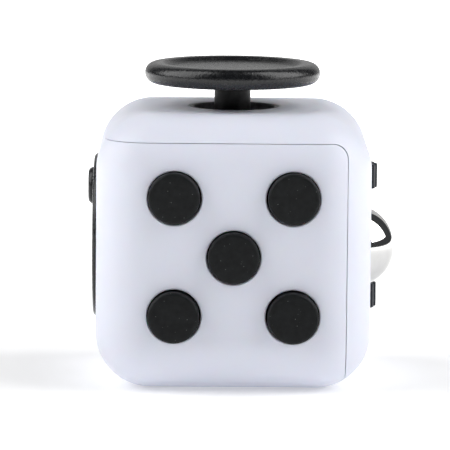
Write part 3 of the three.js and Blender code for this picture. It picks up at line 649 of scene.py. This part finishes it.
def front_shell():
    """The front, left and bottom faces, with the tongue that reaches under the rear shell."""
    shell = inside(cube_solid(0), parting_box(-SEAM_GAP / 2))
    shell = add(shell, inside(cube_solid(WALL - TONGUE), parting_box(TONGUE_REACH)))
    shell = cut(shell, cube_solid(WALL, 6))
    under, within = -WALL - 1.1, -WALL + 0.5
    backing = [(0, under), (6.5, under), (9, -WALL), (9, within), (0, within)]
    post = block(-8.8, -7.2, -7.3, -5.5, -3.45, within)
    shell = add(
        shell,
        *on_face("front", *bosses(CLICK_SCREWS, CLICK_BOSS_END)),
        *on_face("bottom", lathe("backing", backing, 64)),
        *on_face("left", post),
    )
    holes = []
    for column, row in BUTTONS.values():
        shift = Matrix.Translation((column * BUTTON_HOLE_PITCH / 2, row * BUTTON_HOLE_PITCH / 2, 0))
        holes.append(moved(hole_tool(BUTTON_HOLE), shift))
    recess = hole_tool(DIAL_RADIUS + 0.3, 0.25, RECESS_DEPTH, 160)
    shell = cut(shell, *on_face("front", *holes, *pilots(CLICK_SCREWS, CLICK_BOSS_END)))
    shell = cut(shell, *on_face("left", recess))
    shell = cut(shell, *on_face("left", prism("shaft", circle(2.15), -WALL - 1, -0.5)))
    shell = cut(shell, *on_face("left", block(-12, -6.2, -6.62, -6.18, -4.45, -2.25)))
    return cut(shell, *on_face("bottom", dish_tool()))


def pill(half_length, half_width, steps=16):
    """An outline like a running track, longer along Y."""
    straight = half_length - half_width
    upper = arc(0, straight, half_width, 0, 180, steps)
    lower = arc(0, -straight, half_width, 180, 360, steps)
    return upper + lower


def flared(outline_at, lip=0.2, depth=4.0, steps=5):
    """A cutter that opens out in a small round lip. outline_at gives its outline grown by a distance."""
    levels = [(0.0, -depth), (0.0, -lip)]
    for k in range(1, steps + 1):
        a = math.radians(82 * k / steps)
        levels.append((lip * (1 - math.cos(a)), -lip + lip * math.sin(a)))
    levels.append((lip, 1.0))
    bm = bmesh.new()
    rings = [[bm.verts.new((x, y, z)) for x, y in outline_at(grow)] for grow, z in levels]
    bm.faces.new(rings[0][::-1])
    bm.faces.new(rings[-1])
    for below, above in zip(rings, rings[1:]):
        for k in range(len(below)):
            n = (k + 1) % len(below)
            bm.faces.new((below[k], below[n], above[n], above[k]))
    return new_object("flared", bm)


GEAR_SLOT_RADIUS = GEAR_RADIUS + 0.32
GEAR_SLOT_HALF = GEAR_WIDTH / 2 + FIT


def gear_slot(row):
    """The round-bottomed slot that a gear stands in."""
    round_slot = prism("slot", circle(GEAR_SLOT_RADIUS, 72), -GEAR_SLOT_HALF, GEAR_SLOT_HALF)
    stand = Matrix.Rotation(math.radians(90), 4, "X")
    return moved(round_slot, Matrix.Translation((GEAR_ASIDE, row * GEAR_PITCH, -GEAR_DEPTH)) @ stand)


def gear_slot_lip(row):
    """The softened edge round the slot's mouth."""
    half_length = math.sqrt(GEAR_SLOT_RADIUS**2 - GEAR_DEPTH**2)

    def outline(grow):
        x, y = half_length + grow, GEAR_SLOT_HALF + grow
        return [(GEAR_ASIDE + sx * x, row * GEAR_PITCH + sy * y) for sx, sy in SQUARE]

    return flared(outline, 0.15, 0.3)


def ball_pocket():
    """The round socket in the wall that holds the ball in, with a softened rim."""
    radius = BALL_RADIUS + 0.14
    mouth = math.sqrt(radius**2 - BALL_DEPTH**2)
    top = math.degrees(math.asin(BALL_DEPTH / radius))
    socket = arc(0, -BALL_DEPTH, radius, -90, top - 2.0, 40)
    pocket = lathe("pocket", [*socket, (mouth + 0.22, 0.02), (mouth + 0.22, 1.0), (0, 1.0)])
    return moved(pocket, Matrix.Translation((-BALL_ASIDE, 0, 0)))


def rocker_opening(grow):
    """The outline of the rocker's hole, grown by a distance."""
    return pill(ROCKER_LENGTH / 2 + 0.75 + grow, ROCKER_WIDTH / 2 + 0.3 + grow)


def rear_shell():
    """The top, right and back faces, with the groove for the front shell's tongue."""
    shell = cut(cube_solid(0), parting_box(SEAM_GAP / 2))
    shell = cut(shell, inside(cube_solid(WALL - TONGUE - FIT), parting_box(TONGUE_REACH + FIT)))
    shell = cut(shell, cube_solid(WALL, 6))
    shell = add(
        shell,
        *on_face("top", *bosses(CAGE_SCREWS, CAGE_BOSS_END)),
        *on_face("right", *bosses(FRAME_SCREWS, FRAME_BOSS_END, BOSS_RADIUS - 0.1)),
        *on_face("back", *bosses(FLIP_SCREWS, FLIP_BOSS_END)),
    )
    shell = cut(
        shell,
        *on_face("top", hole_tool(COLLAR_OUTER + 0.08, 0.12), *pilots(CAGE_SCREWS, CAGE_BOSS_END)),
        *on_face("back", flared(rocker_opening)),
        *on_face("back", *pilots(FLIP_SCREWS, FLIP_BOSS_END)),
        *on_face("right", *pilots(FRAME_SCREWS, FRAME_BOSS_END)),
    )
    shell = cut(shell, *on_face("right", ball_pocket(), *[gear_slot(row) for row in GEARS.values()]))
    return cut(shell, *on_face("right", *[gear_slot_lip(row) for row in GEARS.values()]))


piece(front_shell(), "shell_front", "front_shell", WHITE)
piece(rear_shell(), "shell_rear", "rear_shell", WHITE)

# ---- Front: the push buttons --------------------------------------------------------------------


def button(clicks):
    """A flanged button: a rounded edge, a top that is very slightly crowned, and a foot."""
    foot_radius, foot = (1.1, -3.35) if clicks else (0.85, -3.6)
    profile = rounded(
        [
            (0, foot),
            (foot_radius, foot, 0.15),
            (foot_radius, -3.0),
            (BUTTON_FLANGE, -3.0, 0.1),
            (BUTTON_FLANGE, -2.2, 0.1),
            (BUTTON_RADIUS, -2.2, 0.1),
            (BUTTON_RADIUS, BUTTON_PROUD - 0.03, 0.42),
            (1.6, BUTTON_PROUD),
            (0, BUTTON_PROUD),
        ],
        8,
    )
    return lathe("button", profile)


CLICKING = ("upper_left", "centre", "lower_right")
for name, (column, row) in BUTTONS.items():
    shift = Matrix.Translation((column * BUTTON_PITCH / 2, row * BUTTON_PITCH / 2, 0))
    made = moved(button(name in CLICKING), FACES["front"] @ shift)
    piece(made, f"push_button_{name}", f"button_{name}", BUTTON_BLACK)

# ---- Top: the gliding thumb disc ------------------------------------------------------------------


def thumb_cap():
    """A disc with a fat round rim, a dished top, and a gently domed underside."""
    rim_r = CAP_RADIUS - CAP_RIM
    rim_z = CAP_UNDER + CAP_RIM
    top = rim_z + CAP_RIM
    profile = [
        (0, CAP_UNDER + 0.02),
        (1.58, CAP_UNDER + 0.02),
        (rim_r * 0.6, CAP_UNDER),
        *arc(rim_r, rim_z, CAP_RIM, -90, 84, 36),
        *rounded(
            [
                (rim_r, top),
                (CAP_DISH_RADIUS + 0.75, top - 0.01, 0.5),
                (CAP_DISH_RADIUS + 0.1, top - CAP_DISH, 0.3),
                (0, top - CAP_DISH - 0.04),
            ],
            10,
        ),
    ]
    return lathe("cap", profile, 160)


def glide_stem():
    """The stem, its dust disc that hides the hole, the square slide and the pin under it."""
    profile = rounded(
        [
            (0, -7.0),
            (1.45, -7.0, 0.1),
            (1.45, -3.7),
            (7.8, -3.7, 0.15),
            (7.8, -3.0, 0.15),
            (STEM_RADIUS, -3.0, 0.25),
            (STEM_RADIUS, CAP_UNDER - 0.05, 0.06),
            (1.45, CAP_UNDER - 0.05),
            (1.45, CAP_UNDER + 0.85),
            (0, CAP_UNDER + 0.85),
        ],
        6,
    )
    stem = lathe("stem", profile)
    stem = add(stem, block(-2, 2, -2, 2, -4.8, -3.5))
    return cut(stem, prism("pilot", circle(0.7, 24), -8.0, -4.2))


def bezel():
    """The black ring that lines the hole, on its plate inside."""
    inner = 4.95
    ring = rounded(
        [
            (inner, -2.75),
            (6.4, -2.75),
            (6.4, -2.15),
            (COLLAR_OUTER, -2.15),
            (COLLAR_OUTER, -0.03, 0.1),
            (inner, -0.03, 0.15),
            (inner, -2.0),
        ],
        4,
    )
    body = lathe("ring", ring)
    out, step = 10.2, 6.9
    outline = []
    for sx, sy in CORNERS:
        corner = [(sx * out, sy * step), (sx * step, sy * step), (sx * step, sy * out)]
        outline += corner if sx * sy > 0 else corner[::-1]
    flange = cut(prism("flange", outline, -2.74, -2.16), prism("eye", circle(6.0), -4, 0))
    return add(body, flange)


GLIDE_PARTS = (
    (thumb_cap(), DISC_ASIDE, "thumb_disc_cap", "thumb_disc", CAP_BLACK),
    (glide_stem(), DISC_ASIDE, "thumb_disc_stem", "glide_stem", STEM_BLACK),
    (bezel(), 0, "glide_hole_ring", "glide_bezel", RING_GREY),
)
for made, aside, name, node, material in GLIDE_PARTS:
    piece(moved(made, FACES["top"] @ Matrix.Translation((aside, 0, 0))), name, node, material)

# ---- Left: the spinning dial ----------------------------------------------------------------------


def dial():
    """A disc with a raised rounded rim and a domed nub near its edge."""
    under = -RECESS_DEPTH + 0.25
    profile = rounded(
        [
            (0, -2.2),
            (2.0, -2.2, 0.1),
            (2.0, under),
            (DIAL_RADIUS, under, 0.2),
            (DIAL_RADIUS, DIAL_PROUD, 0.6),
            (DIAL_RADIUS - 1.2, DIAL_PROUD, 0.25),
            (DIAL_RADIUS - 1.9, DIAL_PROUD - 0.3, 0.4),
            (0, DIAL_PROUD - 0.35),
        ],
        8,
    )
    disc = lathe("dial", profile, 160)
    base = DIAL_PROUD - 0.6
    nub_corners = [(0, base), (NUB_RADIUS, base), (NUB_RADIUS, NUB_PROUD, 0.62), (0, NUB_PROUD)]
    nub = lathe("nub", rounded(nub_corners, 10), 64)
    nub = moved(nub, Matrix.Translation((0, NUB_ORBIT, 0)))
    tenon = block(-1.2, 1.2, -1.2, 1.2, -3.35, -1.95)
    made = add(disc, nub)
    made = add(made, tenon)
    return cut(made, prism("pilot", circle(0.7, 24), -4.4, -1.2))


piece(moved(dial(), FACES["left"]), "spinning_dial", "spin_dial", DIAL_BLACK)

# ---- Right: the ball and the thumb gears ----------------------------------------------------------


def steel_ball():
    bm = bmesh.new()
    bmesh.ops.create_icosphere(bm, subdivisions=6, radius=BALL_RADIUS)
    return new_object("ball", bm)


def thumb_gear():
    """A gear about Y with chamfered teeth. A tooth faces outwards."""
    root = GEAR_RADIUS - 0.7
    step = math.pi / GEAR_TEETH
    outline = []
    for tooth in range(GEAR_TEETH):
        middle = 2 * math.pi * tooth / GEAR_TEETH + math.pi / 2
        corners = ((root, -0.62), (GEAR_RADIUS, -0.4), (GEAR_RADIUS, 0.4), (root, 0.62))
        for r, turn in corners:
            a = middle + turn * step
            outline.append((r * math.cos(a), r * math.sin(a)))
    gear = prism("gear", outline, -GEAR_WIDTH / 2, GEAR_WIDTH / 2)
    gear = soften(gear, 0.16, 3, 20)
    gear = cut(gear, prism("bore", circle(AXLE_RADIUS + FIT, 32), -3, 3))
    return moved(gear, Matrix.Rotation(math.radians(90), 4, "X"))


def ball_seat():
    """The cup that the ball rolls in, and its foot."""
    socket = BALL_RADIUS + 0.13
    rim = -3.2
    start = math.degrees(math.asin((rim + BALL_DEPTH) / socket))
    foot, under = -8.15, -7.9
    corners = [
        (0, foot),
        (1.0, foot, 0.15),
        (1.0, under),
        (3.4, under, 0.2),
        (5.5, -5.6, 0.4),
        (5.5, rim),
    ]
    return lathe("seat", [*rounded(corners, 4), *arc(0, -BALL_DEPTH, socket, start, -90, 20)])


ball_place = FACES["right"] @ Matrix.Translation((-BALL_ASIDE, 0, -BALL_DEPTH))
piece(moved(steel_ball(), ball_place), "rolling_ball", "steel_ball", SLOT_FINISH["chrome"])
seat_place = FACES["right"] @ Matrix.Translation((-BALL_ASIDE, 0, 0))
piece(moved(ball_seat(), seat_place), "ball_cup", "ball_seat", SLOT_FINISH["grey"])
for name, row in GEARS.items():
    gear_place = FACES["right"] @ Matrix.Translation((GEAR_ASIDE, row * GEAR_PITCH, -GEAR_DEPTH))
    piece(moved(thumb_gear(), gear_place), f"gear_{name}", f"thumb_gear_{name}", GEAR_BLACK)

# ---- Back: the rocker switch ----------------------------------------------------------------------


def rocker():
    """A rocker with a soft ridge across its middle, running down to both ends, and its cam."""
    side = rounded(
        [
            (-7.2, -0.9),
            (-7.2, -1.6, 0.3),
            (-5.6, -2.5, 0.6),
            (-1.7, -4.1, 0.4),
            (-0.75, -6.9, 0.2),
            (-0.3, -7.44, 0.15),
            (0.3, -7.44, 0.15),
            (0.75, -6.9, 0.2),
            (1.7, -4.1, 0.4),
            (5.6, -2.5, 0.6),
            (7.2, -1.6, 0.3),
            (7.2, -0.3, 0.35),
            (4.2, 0.35, 6.0),
            (1.5, 1.75, 3.0),
            (0.5, 2.2, 0.8),
            (-0.5, 2.2, 0.8),
            (-1.5, 1.75, 3.0),
            (-4.2, 0.35, 6.0),
            (-7.2, -0.3, 0.35),
            (-7.2, -0.9),
        ],
        6,
    )[:-1]
    half = ROCKER_WIDTH / 2
    body = prism("side", side, -half, half)
    # The side view's axes are the face's Y and Z, and it is drawn out along the face's X.
    body = moved(body, Matrix(((0, 0, 1, 0), (1, 0, 0, 0), (0, 1, 0, 0), (0, 0, 0, 1))))
    body = inside(body, prism("plan", pill(ROCKER_LENGTH / 2, half - 0.001, 20), -12, 6))
    body = soften(body, 0.3, 4, 40)
    bore = prism("bore", circle(AXLE_RADIUS + FIT, 32), -half - 1, half + 1)
    bore = moved(bore, Matrix.Rotation(math.pi / 2, 4, "Y"))
    return cut(body, moved(bore, Matrix.Translation((0, 0, -ROCKER_PIVOT))))


pivot = Matrix.Translation((0, 0, -ROCKER_PIVOT))
tilt = pivot @ Matrix.Rotation(math.radians(ROCKER_TILT), 4, "X") @ pivot.inverted()
piece(moved(rocker(), FACES["back"] @ tilt), "rocker_switch", "flip_rocker", DIAL_BLACK)

# ---- Finishes for the CAD pieces that stay ----------------------------------------------------------

replaced = {node for obj in bpy.data.objects for node in obj.get("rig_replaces", [])}
for entry in frame["record"]["subparts"]:
    node = entry["node"]
    if node in replaced:
        continue
    obj = frame["nodes"][node]
    obj.data.materials.clear()
    obj.data.materials.append(SLOT_FINISH[entry["material_slot"]])
    for polygon in obj.data.polygons:
        polygon.use_smooth = True
    obj.data.set_sharp_from_angle(angle=math.radians(32))

# ---- Studio, in metres ------------------------------------------------------------------------------

PAPER_WHITE = 0.9
NEAR, FAR = 0.06, 0.28
FLOOR_HALF = 3.0
CARD_DISTANCE = 0.7
CARD_STEPS = 12
SURROUND = 5.0
SURROUND_SIDES = 32


def stage_object(name, corners, faces, material):
    """Something of the studio, which is no part of the cube."""
    mesh = bpy.data.meshes.new(name)
    mesh.from_pydata(corners, [], faces)
    mesh.materials.append(material)
    made = bpy.data.objects.new(name, mesh)
    bpy.context.scene.collection.objects.link(made)
    return made


def glowing_paper(name, near, far):
    """White paper that also glows, with one strength near the cube and another far from it."""
    m = Nodes(name)
    m.colour(m.ramp(m.noise(0.004, detail=2), (0.3, PAPER_WHITE - 0.02), (0.7, PAPER_WHITE)))
    m.set(Roughness=0.9, Specular_IOR_Level=0.1)
    m.shader.inputs["Emission Color"].default_value = (1.0, 1.0, 1.0, 1.0)
    distance = m.add("ShaderNodeVectorMath", operation="LENGTH")
    m.link(m.place, distance.inputs[0])
    glow = m.ramp(distance.outputs["Value"], (NEAR, near), (FAR, far), interpolation="EASE")
    m.link(glow, m.shader.inputs["Emission Strength"])
    return m.material


floor_corners = [(sx * FLOOR_HALF, sy * FLOOR_HALF, 0) for sx, sy in SQUARE]
stage_object("floor", floor_corners, [(0, 1, 2, 3)], glowing_paper("floor_paper", 0.25, 1.1))


def direction(azimuth, elevation):
    """The way from the cube towards a compass angle: 0 is the front, 90 the cube's right side."""
    a, e = math.radians(azimuth), math.radians(elevation)
    return Vector((math.sin(a) * math.cos(e), -math.cos(a) * math.cos(e), math.sin(e)))


def card(name, azimuths, elevations, strength):
    """A curved card of light between two azimuths and two elevations, which the camera looks through."""
    m = Nodes(name)
    m.colour(m.ramp(m.noise(0.02, detail=3), (0.3, 0.02), (0.7, 0.03)))
    m.set(Roughness=1.0, Specular_IOR_Level=0.0, Emission_Strength=strength)
    m.shader.inputs["Emission Color"].default_value = (1.0, 1.0, 1.0, 1.0)
    corners = []
    for k in range(CARD_STEPS + 1):
        azimuth = azimuths[0] + (azimuths[1] - azimuths[0]) * k / CARD_STEPS
        for elevation in elevations:
            end = direction(azimuth, elevation)
            corners.append(CENTRE + end * (CARD_DISTANCE / math.hypot(end.x, end.y)))
    faces = [(2 * k, 2 * k + 1, 2 * k + 3, 2 * k + 2) for k in range(CARD_STEPS)]
    stage_object(name, corners, faces, m.material).visible_camera = False


card("softbox_right", (55, 110), (12, 74), 3.55)
card("softbox_left", (-115, -55), (12, 74), 3.05)
card("backdrop", (147, 213), (0, 50), 0.55)

# A white surround that only the camera sees, so that the room can be dim in the reflections.
ring = circle(SURROUND, SURROUND_SIDES)
surround_corners = [(x, y, z) for z in (-SURROUND, SURROUND) for x, y in ring]
surround_faces = [tuple(range(SURROUND_SIDES)), tuple(range(SURROUND_SIDES, 2 * SURROUND_SIDES))]
for k in range(SURROUND_SIDES):
    n = (k + 1) % SURROUND_SIDES
    surround_faces.append((k, n, n + SURROUND_SIDES, k + SURROUND_SIDES))
surround_paper = glowing_paper("surround_paper", 1.0, 1.0)
surround = stage_object("surround", surround_corners, surround_faces, surround_paper)
surround.visible_diffuse = False
surround.visible_glossy = False
surround.visible_transmission = False
surround.visible_shadow = False

world = bpy.data.worlds.new("studio")
bpy.context.scene.world = world
world.use_nodes = True
ambient = world.node_tree.nodes["Background"]
ambient.inputs["Color"].default_value = (0.92, 0.94, 1.0, 1.0)
ambient.inputs["Strength"].default_value = 0.06
bpy.context.scene.view_settings.view_transform = "Standard"

# ---- Camera -----------------------------------------------------------------------------------------

FOCAL = 4261.8 / 450  # focal length over the width of the picture
CAMERA_DISTANCE = 521.5
CAMERA_ELEVATION = math.radians(7.586)
CAMERA_AZIMUTH = math.radians(-0.351)
CAMERA_ROLL = math.radians(0.504)
CENTRE_ASIDE = (0.01770, -0.03283)  # the cube's centre in the picture, from its middle, over its width

back = Vector(
    (
        math.sin(CAMERA_AZIMUTH) * math.cos(CAMERA_ELEVATION),
        -math.cos(CAMERA_AZIMUTH) * math.cos(CAMERA_ELEVATION),
        math.sin(CAMERA_ELEVATION),
    )
)
level_right = Z.cross(back).normalized()
level_up = back.cross(level_right)
right = level_right * math.cos(CAMERA_ROLL) + level_up * math.sin(CAMERA_ROLL)
up = level_up * math.cos(CAMERA_ROLL) - level_right * math.sin(CAMERA_ROLL)
aim = (-back * FOCAL - right * CENTRE_ASIDE[0] - up * CENTRE_ASIDE[1]).normalized()
right = (right - aim * right.dot(aim)).normalized()
up = right.cross(aim)

camera_data = bpy.data.cameras.new("camera")
camera_data.lens = FOCAL * camera_data.sensor_width
camera_data.clip_start, camera_data.clip_end = 0.01, 20
camera = bpy.data.objects.new("camera", camera_data)
bpy.context.scene.collection.objects.link(camera)
rotation = Matrix((right, up, -aim)).transposed().to_4x4()
camera.matrix_world = Matrix.Translation(CENTRE + back * CAMERA_DISTANCE * MM) @ rotation
bpy.context.scene.camera = camera

bpy.context.view_layer.update()
